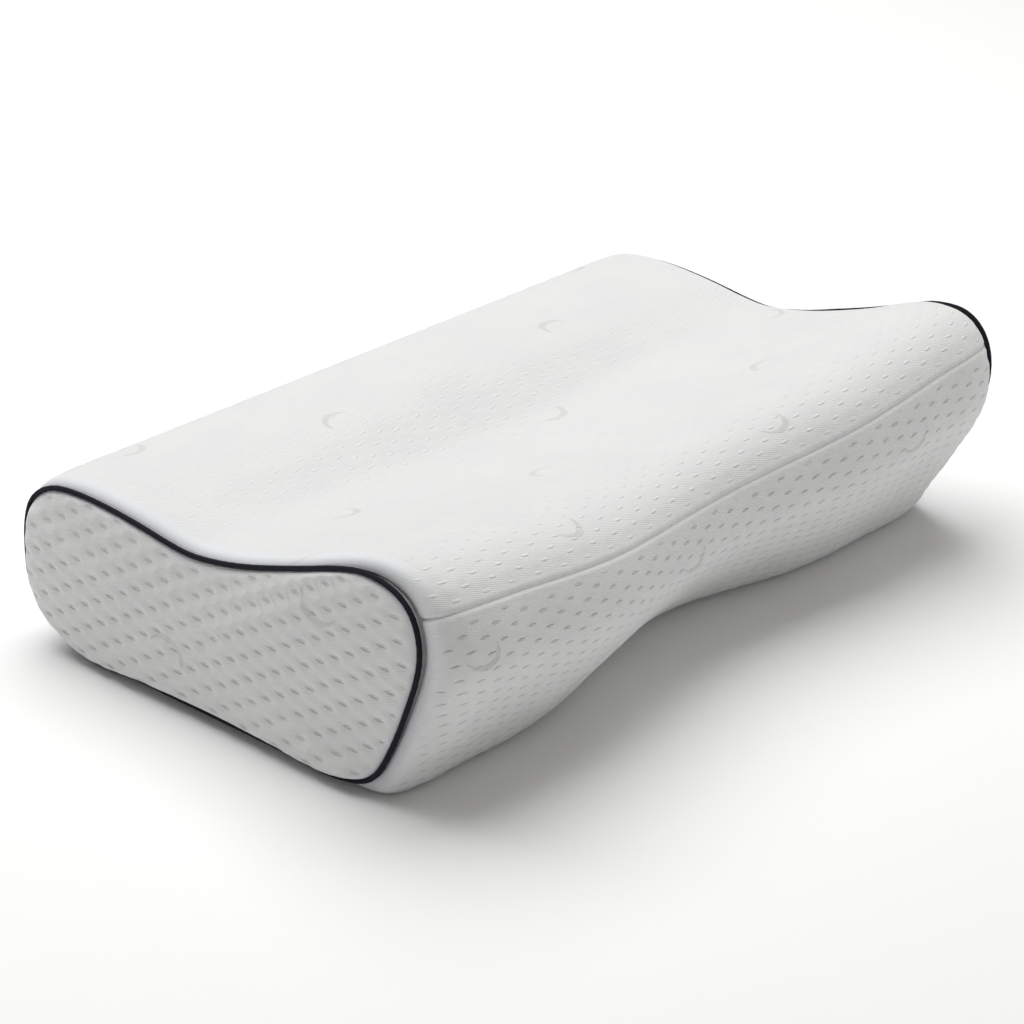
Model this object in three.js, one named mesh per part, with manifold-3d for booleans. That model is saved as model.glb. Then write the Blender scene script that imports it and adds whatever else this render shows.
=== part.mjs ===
// A contour pillow: a foam core in a sewn liner, inside a quilted cover with piped ends
// and a zip along the straight back. X runs along the length, Y from the shoulder cut-out
// at the front to the zip at the back, and Z up from the flat underside.
import * as THREE from "three";
import { mergeVertices } from "three/addons/utils/BufferGeometryUtils.js";
import Module from "manifold-3d";

// Driving dimensions of the pillow, in millimetres.
const LENGTH = 520; // between the two end faces
const END_WIDTH = 333; // of the piped outline, front to back
const CREST_HEIGHT = 142; // top of the high front lobe, at the piping
const VALLEY_HEIGHT = 104; // hollow for the head, at the piping
const BACK_HEIGHT = 111; // low back lobe, at the piping
const OUTLINE_LIFT = 6; // underside of the piped outline, over the ground
const BODY_SWELL = 6; // how far the body stands out all round the piped outline
const FRONT_SWELL = 20; // how much more it stands out along the front seam
const FOOT_SWELL = 7.5; // and again where the front face turns under
const END_ROUND = 26; // length over which the body rounds in to each end
const WAIST_DEPTH = 41; // of the shoulder cut-out, at the underside
const WAIST_DROP = 25; // how much lower the front lobe is at the middle
const WAIST_HALF_LENGTH = 157; // of the cut-out
const DROP_HALF_LENGTH = 300; // of the dip in the front lobe
const RIGHT_TUCK = 19; // how much further the right half of the front face leans in
const TUCK_START = 0.07 * LENGTH; // right of the middle, where half of that lean is reached
const TUCK_BLEND = 0.196 * LENGTH; // length over which it comes in

// Cloth, piping and the room between pieces.
const COVER_THICKNESS = 2.6;
const LINER_THICKNESS = 1;
const LAYER_GAP = 0.5;
const SEAM_GAP = 0.4;
const PIPING_RADIUS = 2.1;
const PIPING_CLOTH = 0.6;
const PIPING_STAND = 0.6; // bead centre beyond the end face
const CORD_GAP = 0.45; // round the cord inside its binding
const PIPING_GAP = 0.7; // from the bead to the panels on either side

// Zip.
const ZIP_HEIGHT = 61.3; // centre line over the ground
const ZIP_OPENING = 13.4; // between the two panel edges
const TAPE_THICKNESS = 0.7;
const COIL_SIZE = 1.8;
const COIL_GAP = 1.6; // between the two coils, where the slider's post runs
const STOP_LENGTH = 2.6;
const PLATE_THICKNESS = 1;
const SLIDER_LENGTH = 11;
const FLANGE_WIDTH = 1;
const POST_WIDTH = 0.9;
const BRIDGE_LENGTH = 8.4;
const BRIDGE_ROOM = 2.2;
const BRIDGE_BAR = 1;
const BRIDGE_WIDTH = 1.8;
const TAB_LENGTH = 24;
const TAB_WIDTH = 6.4;
const TAB_THICKNESS = 1;
const TAB_WINDOW = 3.6; // clear width of the tab's eye
const TAB_EYE_LENGTH = 6.4;
const TAB_PIN = 1.2;

// Fineness of the lofted surfaces.
const STEPS_PER_STATION = 2;
const ROUND_STEPS = 3;
const BODY_STEPS = 12;
const BEAD_STEPS = 6;
const CORD_SIDES = 6;

const wasm = await Module();
wasm.setup();

const halfLength = LENGTH / 2;
const seamStation = 11;
const firstDropStation = 5;
const firstWaistStation = 6;
const firstTuckStation = 8;
const lastFrontStation = 16;
const swellStation = 11.8; // where the front stands out most
const swellSpread = 2.1; // in stations
const footStation = 15;
const footSpread = 0.85;
const waistEasing = 1.25; // above 1 keeps the cut-out shallow near the crest
const undersideStation = 17;
const crestRise = CREST_HEIGHT - VALLEY_HEIGHT;

// The piped end outline as [share of the width, height], from the zip's lower edge over
// the back lobe, the hollow and the front lobe to the front seam, and back underneath.
const outline = [
  [0.5, ZIP_HEIGHT - ZIP_OPENING / 2],
  [0.5, ZIP_HEIGHT + ZIP_OPENING / 2],
  [0.482, 0.83 * BACK_HEIGHT],
  [0.427, 0.96 * BACK_HEIGHT],
  [0.31, BACK_HEIGHT],
  [0.171, (BACK_HEIGHT + VALLEY_HEIGHT) / 2],
  [0.054, VALLEY_HEIGHT],
  [-0.085, VALLEY_HEIGHT + 0.22 * crestRise],
  [-0.241, VALLEY_HEIGHT + 0.66 * crestRise],
  [-0.372, CREST_HEIGHT],
  [-0.455, 0.97 * CREST_HEIGHT],
  [-0.49, 0.885 * CREST_HEIGHT],
  [-0.5, 0.725 * CREST_HEIGHT],
  [-0.469, 0.485 * CREST_HEIGHT],
  [-0.419, 0.222 * CREST_HEIGHT],
  [-0.38, OUTLINE_LIFT + 7.4],
  [-0.308, OUTLINE_LIFT],
  [0, OUTLINE_LIFT],
  [0.361, OUTLINE_LIFT],
  [0.464, OUTLINE_LIFT + 16.7],
  [0.496, OUTLINE_LIFT + 33.4],
].map(([across, up]) => new THREE.Vector2(across * END_WIDTH, up));
const stations = outline.length;
const samples = stations * STEPS_PER_STATION;

// Outward directions of a closed ring of [y, z] points that runs counter-clockwise.
function outwards(ring) {
  return ring.map((point, index) => {
    const before = ring[(index + ring.length - 1) % ring.length];
    const after = ring[(index + 1) % ring.length];
    return new THREE.Vector2(after.y - before.y, before.x - after.x).normalize();
  });
}

const stationOutwards = outwards(outline);
stationOutwards[0].set(1, 0);
stationOutwards[1].set(1, 0);

// How far the body stands out from the piped outline at a station.
function swellAt(station) {
  const fromFront = (station - swellStation) / swellSpread;
  const fromFoot = (station - footStation) / footSpread;
  const front = FRONT_SWELL * Math.exp(-fromFront * fromFront);
  const foot = FOOT_SWELL * Math.exp(-fromFoot * fromFoot);
  return BODY_SWELL + front + foot;
}

function bell(x, halfWidth) {
  const share = Math.min(Math.abs(x) / halfWidth, 1);
  return 0.5 + 0.5 * Math.cos(Math.PI * share);
}

// How far along a run of stations one is, from 0 before it to 1 after it.
function shareOfRun(station, first, count) {
  return THREE.MathUtils.clamp((station - first) / count, 0, 1);
}

// How far a station is moved by the shoulder cut-out and the lean of the right half.
function frontShift(station, x) {
  if (station > lastFrontStation) return new THREE.Vector2(0, 0);
  const waistShare = shareOfRun(station, firstWaistStation, 10);
  const dropShare = shareOfRun(station, firstDropStation, 10);
  const tuckShare = shareOfRun(station, firstTuckStation, 12);
  const rightShare = 0.5 + 0.5 * Math.tanh((x - TUCK_START) / TUCK_BLEND);
  const inwards = WAIST_DEPTH * waistShare ** waistEasing * bell(x, WAIST_HALF_LENGTH)
    + RIGHT_TUCK * Math.sin(Math.PI * tuckShare) * rightShare;
  const down = WAIST_DROP * Math.sin(Math.PI * dropShare) * bell(x, DROP_HALF_LENGTH);
  return new THREE.Vector2(inwards, -down);
}

// A closed ring of [y, z] points at x, where offsetOf(station) is the swell there.
function ringAt(x, offsetOf) {
  const points = outline.map((point, station) => {
    const moved = point.clone().add(frontShift(station, x));
    moved.addScaledVector(stationOutwards[station], offsetOf(station));
    return new THREE.Vector3(moved.x, moved.y, 0);
  });
  const curve = new THREE.CatmullRomCurve3(points, true, "centripetal");
  const underside = OUTLINE_LIFT - offsetOf(undersideStation);
  const ring = [];
  for (let index = 0; index < samples; index += 1) {
    const point = curve.getPoint(index / samples);
    ring.push(new THREE.Vector2(point.x, Math.max(point.y, underside)));
  }
  // The stretch that holds the zip is flat.
  for (let index = 1; index < STEPS_PER_STATION; index += 1) {
    ring[index].lerpVectors(ring[0], ring[STEPS_PER_STATION], index / STEPS_PER_STATION);
  }
  return ring;
}

// Rows of the body's skin, from the left end to the right: x, and the share of its swell.
function skinRows() {
  const rows = [];
  for (let step = 0; step < ROUND_STEPS; step += 1) {
    const angle = (Math.PI / 2) * (step / ROUND_STEPS);
    rows.push({ x: END_ROUND * (1 - Math.cos(angle)) - halfLength, share: Math.sin(angle) });
  }
  const straight = halfLength - END_ROUND;
  for (let step = 0; step <= BODY_STEPS; step += 1) {
    rows.push({ x: straight * (2 * step / BODY_STEPS - 1), share: 1 });
  }
  for (let step = ROUND_STEPS - 1; step >= 0; step -= 1) {
    rows.push({ x: -rows[step].x, share: rows[step].share });
  }
  return rows;
}

const rows = skinRows();
const firstOffset = PIPING_RADIUS + PIPING_GAP;

// The body's skin moved inwards by inset: one ring of points for each row.
function skin(inset) {
  return rows.map(({ x, share }) => {
    const ring = ringAt(x, (station) => firstOffset + (swellAt(station) - firstOffset) * share);
    const directions = outwards(ring);
    directions[0].set(1, 0);
    directions[STEPS_PER_STATION].set(1, 0);
    const across = x * (1 - inset / halfLength);
    return ring.map((point, index) => new THREE.Vector3(
      across,
      point.x - inset * directions[index].x,
      point.y - inset * directions[index].y,
    ));
  });
}

// One closed body from points and triangles, turned so that its faces point out.
function solid(points, triangles) {
  let volume = 0;
  for (const [a, b, c] of triangles) {
    volume += points[a].dot(new THREE.Vector3().crossVectors(points[b], points[c]));
  }
  const index = triangles.flatMap(([a, b, c]) => (volume > 0 ? [a, b, c] : [a, c, b]));
  const geometry = new THREE.BufferGeometry();
  geometry.setAttribute("position", new THREE.Float32BufferAttribute(
    points.flatMap((point) => point.toArray()),
    3,
  ));
  geometry.setIndex(index);
  geometry.computeVertexNormals();
  return geometry;
}

// Triangles between two rows of point numbers, with the last joined to the first if closed.
// Skins that nest are cut along the same diagonals, whichever way they face.
function band(triangles, rowA, rowB, closed, facingIn = false) {
  const count = closed ? rowA.length : rowA.length - 1;
  for (let index = 0; index < count; index += 1) {
    const next = (index + 1) % rowA.length;
    const faces = [
      [rowA[index], rowA[next], rowB[next]],
      [rowA[index], rowB[next], rowB[index]],
    ];
    triangles.push(...(facingIn ? faces.map((face) => face.reverse()) : faces));
  }
}

// Triangles of a flat cap on a ring of point numbers, wound with the ring or against it.
function cap(triangles, points, ring, withRing) {
  const flat = ring.map((number) => new THREE.Vector2(points[number].y, points[number].z));
  const ringSense = Math.sign(THREE.ShapeUtils.area(flat));
  for (const face of THREE.ShapeUtils.triangulateShape(flat, [])) {
    const sense = Math.sign(THREE.ShapeUtils.area(face.map((corner) => flat[corner])));
    const corners = face.map((corner) => ring[corner]);
    triangles.push((sense === ringSense) === withRing ? corners : corners.reverse());
  }
}

// Adds rings to a list of points and returns the same rings as point numbers.
function numbered(points, rings) {
  return rings.map((ring) => ring.map((point) => points.push(point) - 1));
}

// A lofted solid through closed rings, with a flat cap on each end.
function loft(rings) {
  const points = [];
  const triangles = [];
  const numbers = numbered(points, rings);
  for (let row = 1; row < numbers.length; row += 1) {
    band(triangles, numbers[row - 1], numbers[row], true);
  }
  cap(triangles, points, numbers[0], false);
  cap(triangles, points, numbers.at(-1), true);
  return solid(points, triangles);
}

// A sewn bag: an outer and an inner skin, closed at the left and open at the right.
function bag(outer, inner) {
  const points = [];
  const triangles = [];
  const outside = numbered(points, outer);
  const inside = numbered(points, inner);
  for (let row = 1; row < outside.length; row += 1) {
    band(triangles, outside[row - 1], outside[row], true);
    band(triangles, inside[row - 1], inside[row], true, true);
  }
  cap(triangles, points, outside[0], false);
  cap(triangles, points, inside[0], true);
  band(triangles, outside.at(-1), inside.at(-1), true);
  return solid(points, triangles);
}

// A thick sheet between an outer and an inner grid of points.
function sheet(outer, inner) {
  const points = [];
  const triangles = [];
  const outside = numbered(points, outer);
  const inside = numbered(points, inner);
  for (let row = 1; row < outside.length; row += 1) {
    band(triangles, outside[row - 1], outside[row], false);
    band(triangles, inside[row - 1], inside[row], false, true);
  }
  band(triangles, inside[0], outside[0], false);
  band(triangles, outside.at(-1), inside.at(-1), false);
  const column = (grid, place) => grid.map((row) => row.at(place));
  band(triangles, column(outside, 0), column(inside, 0), false);
  band(triangles, column(inside, -1), column(outside, -1), false);
  return solid(points, triangles);
}

// Part of a skin between two sample numbers, trimmed back at either edge.
function stretch(grid, from, to, trimFrom, trimTo) {
  return grid.map((ring) => {
    const row = [];
    for (let index = from; index <= to; index += 1) {
      row.push(ring[index % samples].clone());
    }
    const trim = (edge, neighbour, amount) => {
      edge.lerp(neighbour, amount / edge.distanceTo(neighbour));
    };
    trim(row[0], row[1], trimFrom);
    trim(row.at(-1), row.at(-2), trimTo);
    return row;
  });
}

// A section of [outwards, along X] points swept round the piped outline of one end.
function sweepRoundEnd(side, section) {
  const ring = ringAt(side * halfLength, () => 0);
  const directions = outwards(ring);
  directions[0].set(1, 0);
  directions[STEPS_PER_STATION].set(1, 0);
  const points = [];
  const triangles = [];
  const rings = ring.map((point, index) => section.map(([out, along]) => new THREE.Vector3(
    side * (halfLength + PIPING_STAND + along),
    point.x + out * directions[index].x,
    point.y + out * directions[index].y,
  )));
  const numbers = numbered(points, rings);
  numbers.forEach((row, index) => {
    band(triangles, row, numbers[(index + 1) % numbers.length], true);
  });
  return solid(points, triangles);
}

// Section of the piping's cloth: round the cord, and open towards the pillow.
function pipingClothSection() {
  const halfTurn = (150 * Math.PI) / 180;
  const arc = (radius, from, to) => {
    const points = [];
    for (let step = 0; step <= BEAD_STEPS; step += 1) {
      const angle = from + (to - from) * (step / BEAD_STEPS);
      points.push([radius * Math.sin(angle), radius * Math.cos(angle)]);
    }
    return points;
  };
  return [
    ...arc(PIPING_RADIUS, -halfTurn, halfTurn),
    ...arc(PIPING_RADIUS - PIPING_CLOTH, halfTurn, -halfTurn),
  ];
}

function pipingCordSection() {
  const radius = PIPING_RADIUS - PIPING_CLOTH - CORD_GAP;
  const points = [];
  for (let side = 0; side < CORD_SIDES; side += 1) {
    const angle = (2 * Math.PI * side) / CORD_SIDES;
    points.push([radius * Math.sin(angle), radius * Math.cos(angle)]);
  }
  return points;
}

// A flat end panel inside the piping.
function endPanel(side) {
  const ring = ringAt(side * halfLength, () => -PIPING_RADIUS - PIPING_GAP);
  const at = (x) => ring.map((point) => new THREE.Vector3(side * x, point.x, point.y));
  return loft([at(halfLength), at(halfLength - COVER_THICKNESS)]);
}

// Zip places, from the back of the cover inwards and outwards.
const backFace = END_WIDTH / 2 + swellAt(0);
const linerInset = COVER_THICKNESS + LAYER_GAP;
const innerPlateBack = backFace - linerInset + LAYER_GAP;
const tapeBack = innerPlateBack + PLATE_THICKNESS + SEAM_GAP;
const coilBack = tapeBack + TAPE_THICKNESS + SEAM_GAP;
const plateBack = coilBack + COIL_SIZE + SEAM_GAP;
const plateFront = plateBack + PLATE_THICKNESS;
const zipHalfLength = (halfLength - END_ROUND) * (1 - COVER_THICKNESS / halfLength) - SEAM_GAP;
const coilHalfLength = zipHalfLength - STOP_LENGTH - 2 * SEAM_GAP;
const sliderReach = coilHalfLength - SLIDER_LENGTH / 2 - SEAM_GAP;
const coilOuter = COIL_GAP / 2 + COIL_SIZE;
const sliderHalfWidth = coilOuter + SEAM_GAP + FLANGE_WIDTH;

// A box from its lowest and highest corners.
function box(low, high) {
  const size = high.map((value, axis) => value - low[axis]);
  const geometry = new THREE.BoxGeometry(...size);
  geometry.translate(...high.map((value, axis) => (value + low[axis]) / 2));
  return geometry;
}

// A strip along the zip on one of its two sides: side is 1 above and -1 below.
function zipStrip(side, halfSpan, inner, outer, back, thickness) {
  const edges = [ZIP_HEIGHT + side * inner, ZIP_HEIGHT + side * outer];
  return box(
    [-halfSpan, back, Math.min(...edges)],
    [halfSpan, back + thickness, Math.max(...edges)],
  );
}

function zipTape(side) {
  const edge = ZIP_OPENING / 2 - SEAM_GAP;
  return zipStrip(side, zipHalfLength, COIL_GAP / 2, edge, tapeBack, TAPE_THICKNESS);
}

function zipCoil(side) {
  return zipStrip(side, coilHalfLength, COIL_GAP / 2, coilOuter, coilBack, COIL_SIZE);
}

// A stop beyond the coils' ends, at x, from one height to another over the centre line.
function zipStop(x, low, high) {
  return box(
    [x - STOP_LENGTH / 2, coilBack, ZIP_HEIGHT + low],
    [x + STOP_LENGTH / 2, coilBack + COIL_SIZE, ZIP_HEIGHT + high],
  );
}

// Joins overlapping closed geometries into one.
function join(geometries) {
  const parts = geometries.map((geometry) => {
    geometry.deleteAttribute("normal");
    geometry.deleteAttribute("uv");
    const merged = mergeVertices(geometry);
    return new wasm.Manifold(new wasm.Mesh({
      numProp: 3,
      vertProperties: new Float32Array(merged.getAttribute("position").array),
      triVerts: new Uint32Array(merged.getIndex().array),
    }));
  });
  const mesh = parts.reduce((whole, part) => whole.add(part)).getMesh();
  const geometry = new THREE.BufferGeometry();
  geometry.setAttribute("position", new THREE.BufferAttribute(mesh.vertProperties, 3));
  geometry.setIndex(new THREE.BufferAttribute(mesh.triVerts, 1));
  geometry.computeVertexNormals();
  return geometry;
}

// The slider: an outer and an inner plate on a post, flanges that hold the coils, and
// the bridge that the pull tab hangs on. It is drawn round x = 0.
function slider() {
  const half = SLIDER_LENGTH / 2;
  const overlap = 0.2;
  const halfBridge = BRIDGE_LENGTH / 2;
  const bridgeTop = plateFront + BRIDGE_ROOM;
  const plate = (back) => box(
    [-half, back, ZIP_HEIGHT - sliderHalfWidth],
    [half, back + PLATE_THICKNESS, ZIP_HEIGHT + sliderHalfWidth],
  );
  const flange = (side) => {
    const edges = [side * (sliderHalfWidth - FLANGE_WIDTH), side * sliderHalfWidth];
    return box(
      [-half, coilBack, ZIP_HEIGHT + Math.min(...edges)],
      [half, plateBack + overlap, ZIP_HEIGHT + Math.max(...edges)],
    );
  };
  const bridgePiece = (fromX, toX, back, front) => box(
    [fromX, back, ZIP_HEIGHT - BRIDGE_WIDTH / 2],
    [toX, front, ZIP_HEIGHT + BRIDGE_WIDTH / 2],
  );
  const post = box(
    [half - 3, innerPlateBack + overlap, ZIP_HEIGHT - POST_WIDTH / 2],
    [half - 0.5, plateBack + overlap, ZIP_HEIGHT + POST_WIDTH / 2],
  );
  return join([
    plate(plateBack),
    plate(innerPlateBack),
    post,
    flange(1),
    flange(-1),
    bridgePiece(-halfBridge, BRIDGE_BAR - halfBridge, plateFront - overlap, bridgeTop + overlap),
    bridgePiece(halfBridge - BRIDGE_BAR, halfBridge, plateFront - overlap, bridgeTop + overlap),
    bridgePiece(-halfBridge, halfBridge, bridgeTop, bridgeTop + BRIDGE_BAR),
  ]);
}

// The pull tab, lying along -X from its pin at x = 0, with an eye round the bridge.
function pullTab() {
  const half = TAB_WIDTH / 2;
  const tip = TAB_LENGTH - TAB_PIN / 2;
  const shape = new THREE.Shape();
  shape.moveTo(TAB_PIN / 2, -half);
  shape.lineTo(TAB_PIN / 2, half);
  shape.lineTo(-tip + half, half);
  shape.absarc(-tip + half, 0, half, Math.PI / 2, (3 * Math.PI) / 2, false);
  shape.lineTo(TAB_PIN / 2, -half);
  const eye = new THREE.Path();
  eye.moveTo(-TAB_PIN / 2, -TAB_WINDOW / 2);
  eye.lineTo(-TAB_PIN / 2, TAB_WINDOW / 2);
  eye.lineTo(-TAB_PIN / 2 - TAB_EYE_LENGTH, TAB_WINDOW / 2);
  eye.lineTo(-TAB_PIN / 2 - TAB_EYE_LENGTH, -TAB_WINDOW / 2);
  eye.closePath();
  shape.holes.push(eye);
  const geometry = new THREE.ExtrudeGeometry(shape, {
    depth: TAB_THICKNESS,
    bevelEnabled: false,
    curveSegments: 8,
  });
  geometry.translate(0, 0, -TAB_THICKNESS / 2);
  geometry.rotateX(Math.PI / 2);
  geometry.translate(0, plateFront + BRIDGE_ROOM / 2, ZIP_HEIGHT);
  return geometry;
}

// Materials.
const cloth = (color) => new THREE.MeshStandardMaterial({ color, roughness: 0.95 });
const metal = (color) => new THREE.MeshStandardMaterial({ color, roughness: 0.35, metalness: 1 });
const plastic = (color) => new THREE.MeshStandardMaterial({ color, roughness: 0.45 });
const coverWhite = "#e9e9ea";
const pipingNavy = "#12151f";

const pillow = new THREE.Group();

function addPiece(name, geometry, material, x = 0) {
  const mesh = new THREE.Mesh(geometry, material);
  mesh.name = name;
  mesh.position.x = x;
  pillow.add(mesh);
}

function addCover() {
  const outer = skin(0);
  const inner = skin(COVER_THICKNESS);
  const seamSample = seamStation * STEPS_PER_STATION;
  const half = SEAM_GAP / 2;
  const piece = (from, to, trimFrom, trimTo) => sheet(
    stretch(outer, from, to, trimFrom, trimTo),
    stretch(inner, from, to, trimFrom, trimTo),
  );
  addPiece("top_panel", piece(STEPS_PER_STATION, seamSample, 0, half), cloth(coverWhite));
  addPiece("bottom_panel", piece(seamSample, samples, half, 0), cloth(coverWhite));
  const zipEnd = (grid, first) => {
    const strip = stretch(grid, 0, STEPS_PER_STATION, SEAM_GAP, SEAM_GAP);
    return strip.slice(first, first + ROUND_STEPS + 1);
  };
  const rightRow = rows.length - ROUND_STEPS - 1;
  for (const [name, row] of [["left", 0], ["right", rightRow]]) {
    const geometry = sheet(zipEnd(outer, row), zipEnd(inner, row));
    addPiece(`${name}_zip_end_tab`, geometry, cloth(coverWhite));
  }
}

function addEnds() {
  for (const [name, side] of [["left", -1], ["right", 1]]) {
    addPiece(`${name}_end_panel`, endPanel(side), cloth(coverWhite));
    const binding = sweepRoundEnd(side, pipingClothSection());
    addPiece(`${name}_piping_binding`, binding, cloth(pipingNavy));
    addPiece(`${name}_piping_cord`, sweepRoundEnd(side, pipingCordSection()), cloth("#d8d4c8"));
  }
}

function addFilling() {
  const linerInner = linerInset + LINER_THICKNESS;
  addPiece("inner_liner", bag(skin(linerInset), skin(linerInner)), cloth("#f4f4f2"));
  addPiece("foam_core", loft(skin(linerInner + LAYER_GAP)), cloth("#efe6c8"));
}

function addZip() {
  const stopX = coilHalfLength + SEAM_GAP + STOP_LENGTH / 2;
  for (const [name, side] of [["upper", 1], ["lower", -1]]) {
    addPiece(`zip_tape_${name}`, zipTape(side), cloth("#f0f0f0"));
    addPiece(`zip_coil_${name}`, zipCoil(side), plastic("#ececec"));
    const edges = [(side * COIL_GAP) / 2, side * coilOuter];
    const stop = zipStop(stopX, Math.min(...edges), Math.max(...edges));
    addPiece(`zip_top_stop_${name}`, stop, metal("#c4c6c8"));
  }
  addPiece("zip_bottom_stop", zipStop(-stopX, -coilOuter, coilOuter), metal("#c4c6c8"));
  addPiece("zip_slider", slider(), metal("#c4c6c8"), sliderReach);
  addPiece("zip_pull_tab", pullTab(), metal("#c4c6c8"), sliderReach);
}

addFilling();
addCover();
addEnds();
addZip();

// The origin is the middle of the underside's box.
const bounds = new THREE.Box3().setFromObject(pillow);
const centre = bounds.getCenter(new THREE.Vector3());
pillow.position.set(-centre.x, -centre.y, -bounds.min.z);

export default pillow;
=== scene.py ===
"""Looks of a contour pillow: a quilted knit cover over a waved foam core, navy piping
round both flat ends, and a zip along the straight back. Lengths are in metres."""

import math

import bmesh
import bpy
import numpy as np
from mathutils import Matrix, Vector


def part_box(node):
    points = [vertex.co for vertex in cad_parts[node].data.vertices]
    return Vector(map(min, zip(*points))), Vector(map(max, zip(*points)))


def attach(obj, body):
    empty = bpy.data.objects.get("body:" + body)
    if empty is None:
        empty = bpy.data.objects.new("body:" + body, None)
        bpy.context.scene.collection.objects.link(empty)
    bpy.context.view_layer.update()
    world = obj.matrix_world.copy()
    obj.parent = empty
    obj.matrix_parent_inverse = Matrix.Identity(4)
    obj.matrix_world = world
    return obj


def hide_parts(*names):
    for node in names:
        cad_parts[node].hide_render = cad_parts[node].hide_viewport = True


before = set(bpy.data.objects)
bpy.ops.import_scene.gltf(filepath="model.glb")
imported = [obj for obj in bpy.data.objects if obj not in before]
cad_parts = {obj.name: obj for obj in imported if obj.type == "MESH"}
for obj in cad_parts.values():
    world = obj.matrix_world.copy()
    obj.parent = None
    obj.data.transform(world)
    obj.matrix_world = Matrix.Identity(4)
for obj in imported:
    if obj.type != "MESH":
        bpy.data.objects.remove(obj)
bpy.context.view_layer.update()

MM = 0.001

# Cloth
KNIT_STEP = 1.8 * MM  # fineness of the cover's mesh
COVER_THICKNESS = 2.2 * MM
LINING_STRIDE = 4  # the cover's inner side is this much coarser
DIMPLE_CELL = (21.4 * MM, 12.7 * MM)  # two dimples in each cell, one at its middle
DIMPLE_HALF = (3.3 * MM, 1.1 * MM)
PUFF_RADIUS = 6.6 * MM
PUFF_HEIGHT = {"top": 0.55 * MM, "bottom": 0.7 * MM, "end": 1.5 * MM}
BAND_WIDTH = 13 * MM  # smooth cloth beside the piping
SEAM_DEPTH = 2.0 * MM
SEAM_ROLL = 1.35 * MM
ZIP_EDGE_DEPTH = 0.8 * MM  # how far the cover dips to the zip
TUCK_DEPTH = 0.9 * MM  # how far the cover's ends turn in behind the bead
TUCK_ROLL = 1.1 * MM
EDGE_DROP = 2.4 * MM  # how far the cover dips to the piping
EDGE_ROLL = 5.5 * MM
RIGHT_FRONT_FLARE = 2.5 * MM  # and how far it flares round the right end's front
RIGHT_FRONT_ROLL = 9 * MM
RIGHT_FRONT_START = 120 * MM  # how far forward that begins
RIGHT_FRONT_FULL = 160 * MM
PUCKER_PITCH = 9 * MM
PUCKER_HEIGHT = 0.18 * MM
# How strongly the dimples are pressed on each panel. This also sets their dashes' painted light
# and shade: a painted highlight on the top, painted shade on the bottom and ends.
PRESS_AND_SHADE = {"top": 0.55, "bottom": 1.1, "end": 1.25}
SEAM_PRESS_AND_SHADE = 0.2  # and how much more beside the front seam, where the dashes' painted shade deepens too
SEAM_PRESS_AND_SHADE_REACH = 70 * MM
# Sparse leaves: their cell, the slant of their columns, and one leaf's place on each panel.
LEAF_RADIUS = 12.5 * MM
LEAF_TURN = -0.4
LEAF_CELL = (204 * MM, 152 * MM)
LEAF_SLANT = 0.22
LEAF_PLACE = {
    "top": (73 * MM, 183 * MM), "bottom": (-41 * MM, -26 * MM), "end": (-67 * MM, 109 * MM),
}
# How each panel's knit lies on it: rows of a map from lengths on the panel to the cloth.
TOP_LAY = ((1.0, 0.0), (0.0, 1.0))
FRONT_LAY = ((0.88, 0.325), (-0.09, 1.18))
END_LAY = ((0.83, -0.155), (-0.039, 0.921))

# Piping
BINDING_RADIUS = 2.1 * MM  # of the CAD bead
BEAD_RADIUS = 1.65 * MM
BEAD_STEPS = 14
FILLER_RADIUS = 1.1 * MM
FILLER_STEPS = 10
BEAD_RISE = 1.1 * MM
# The right end's bead stands prouder towards the front: places from front to back.
RIGHT_RISE_PLACES = (-156 * MM, -122 * MM, -100 * MM, -30 * MM, 20 * MM)
RIGHT_RISES = (15 * MM, 4.2 * MM, 1.4 * MM, 1.2 * MM, -1.6 * MM)
PATH_SMOOTHING = 7  # spokes

# End panels
END_BULGE = 4.0 * MM
END_BULGE_ROLL = 28 * MM
END_LIP = 3.6 * MM
END_LIP_LOW = 4.6 * MM  # more along the back and the underside
END_LIP_ROLL = 2.6 * MM
END_BAND = (2.5 * MM, 7 * MM)  # where the smooth rim ends and the quilting is full
END_RINGS = 72
END_SPOKES = 480

# Filling
LINER = "inner_liner_sewn"
FILLING_DROP = 7 * MM  # the liner and core draw in this far at the ends
FILLING_ROLL = 20 * MM

# Zip
FILAMENT = 0.24 * MM
COIL_PITCH = 1.5 * MM
STITCH_LENGTH = 2.6 * MM
STITCH_PITCH = 3.6 * MM
STITCH_RADIUS = 0.24 * MM
STITCH_INSET = 2.4 * MM
STITCH_START = 9 * MM

# View
VIEW_AZIMUTH = -46.76
VIEW_ELEVATION = 25.41
VIEW_DISTANCE = 2.203
VIEW_TARGET = (-0.0051, 0.0110, 0.0479)
VIEW_LENS = 123.5

# Navy binding colours: painted shade in the weave's valleys, the thread tops, and lint.
BLACK_NAVY = ((0.002, 0.002, 0.006, 1), (0.006, 0.007, 0.018, 1), (0.016, 0.018, 0.034, 1))


# ---------------------------------------------------------------- reading the frame

def unique_points(node):
    """The separate corner points of a CAD node."""
    corners = np.array([v.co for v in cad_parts[node].data.vertices], float)
    return np.unique(np.round(corners, 6), axis=0)


ZIP_LINE = (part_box("zip_tape_lower")[1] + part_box("zip_tape_upper")[0]) / 2
HALF_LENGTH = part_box("top_panel")[1].x


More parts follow.
